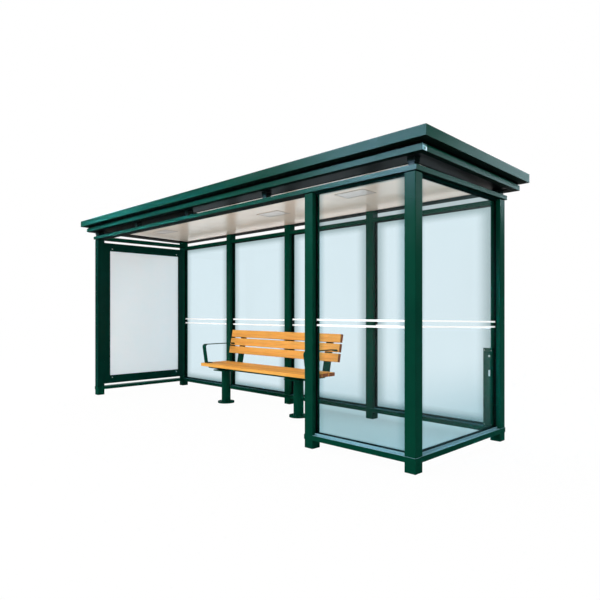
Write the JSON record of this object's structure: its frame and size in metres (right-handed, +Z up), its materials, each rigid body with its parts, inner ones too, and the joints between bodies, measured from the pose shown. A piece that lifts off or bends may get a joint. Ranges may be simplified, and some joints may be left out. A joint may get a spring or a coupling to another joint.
{
  "type": "bus shelter",
  "caption": "Flat-roofed bus shelter on square posts, glazed at the back, right end and front right, with a poster case at the left end and a slatted bench.",
  "frame": {"origin": "on the ground, in the middle of the footprint", "axes": "+X to the right along the length, seen from the open front; +Y to the rear; +Z up"},
  "size_m": [5.32, 1.6571, 2.325],
  "materials": {
    "green_powder_coat": "satin powder coat, dark green",
    "dark_channel": "satin powder coat, very dark green",
    "tinted_glass": "translucent pale blue toughened glass",
    "clear_glass": "clear toughened glass",
    "opal_panel": "milky poster panel, semi-gloss",
    "dark_soffit": "dark glossy soffit",
    "black_recess": "matt black",
    "ceiling_laminate": "glossy beige panel",
    "light_diffuser": "prismatic light diffuser",
    "roof_sheet": "satin grey coated sheet",
    "oiled_timber": "oiled hardwood, golden"
  },
  "bodies": {
    "root": {"bench_armrests": "green_powder_coat", "bench_back_slats": "oiled_timber", "bench_pedestals": "green_powder_coat", "bench_seat_planks": "oiled_timber", "bench_supports": "green_powder_coat", "cable_cover": "green_powder_coat", "ceiling_lights": "light_diffuser", "ceiling_panel": "ceiling_laminate", "end_lower_trims": "green_powder_coat", "front_base_rail": "green_powder_coat", "front_fascia": "green_powder_coat", "front_glass": "clear_glass", "front_header": "green_powder_coat", "front_left_post": "green_powder_coat", "front_lower_trim": "green_powder_coat", "front_middle_post": "green_powder_coat", "front_right_post": "green_powder_coat", "glazing_channels": "dark_channel", "left_base_rail": "green_powder_coat", "left_fascia": "green_powder_coat", "left_header": "green_powder_coat", "post_feet": "green_powder_coat", "poster_frame": "green_powder_coat", "poster_panel": "opal_panel", "rear_base_rail": "green_powder_coat", "rear_fascia": "green_powder_coat", "rear_header": "green_powder_coat", "rear_left_glass": "tinted_glass", "rear_left_inner_glass": "tinted_glass", "rear_left_inner_post": "green_powder_coat", "rear_left_post": "green_powder_coat", "rear_lower_trim": "green_powder_coat", "rear_middle_post": "green_powder_coat", "rear_right_glass": "tinted_glass", "rear_right_inner_glass": "tinted_glass", "rear_right_inner_post": "green_powder_coat", "rear_right_post": "green_powder_coat", "recess_band": "black_recess", "right_base_rail": "green_powder_coat", "right_fascia": "green_powder_coat", "right_glass": "clear_glass", "right_header": "green_powder_coat", "roof_deck": "roof_sheet", "roof_stubs": "green_powder_coat", "soffit_border": "dark_soffit"}
  },
  "joints": []
}
